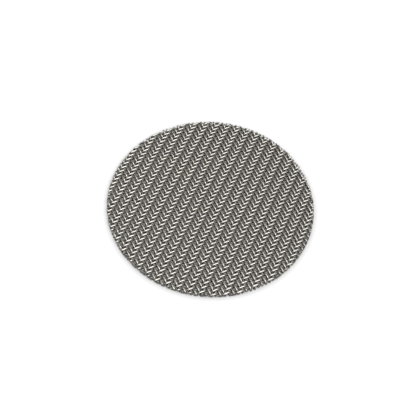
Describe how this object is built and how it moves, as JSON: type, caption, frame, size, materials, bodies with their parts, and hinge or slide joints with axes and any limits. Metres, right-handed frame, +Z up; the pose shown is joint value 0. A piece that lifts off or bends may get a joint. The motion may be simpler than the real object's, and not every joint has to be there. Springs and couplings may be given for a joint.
{
  "type": "heater protector screen",
  "caption": "Round disc of twill woven stainless wire cloth that covers a small heater's chamber and keeps debris out while air and vapour pass.",
  "frame": {"origin": "centre of the disc, on the plane that the crests of its underside rest on", "axes": "+Z up, square to the disc; +X along the weft wires and +Y along the warp wires"},
  "size_m": [0.022, 0.022, 0.0004],
  "materials": {
    "stainless_wire": "drawn stainless wire, semi-bright"
  },
  "bodies": {
    "root": {"mesh_disc": "stainless_wire"}
  },
  "joints": []
}
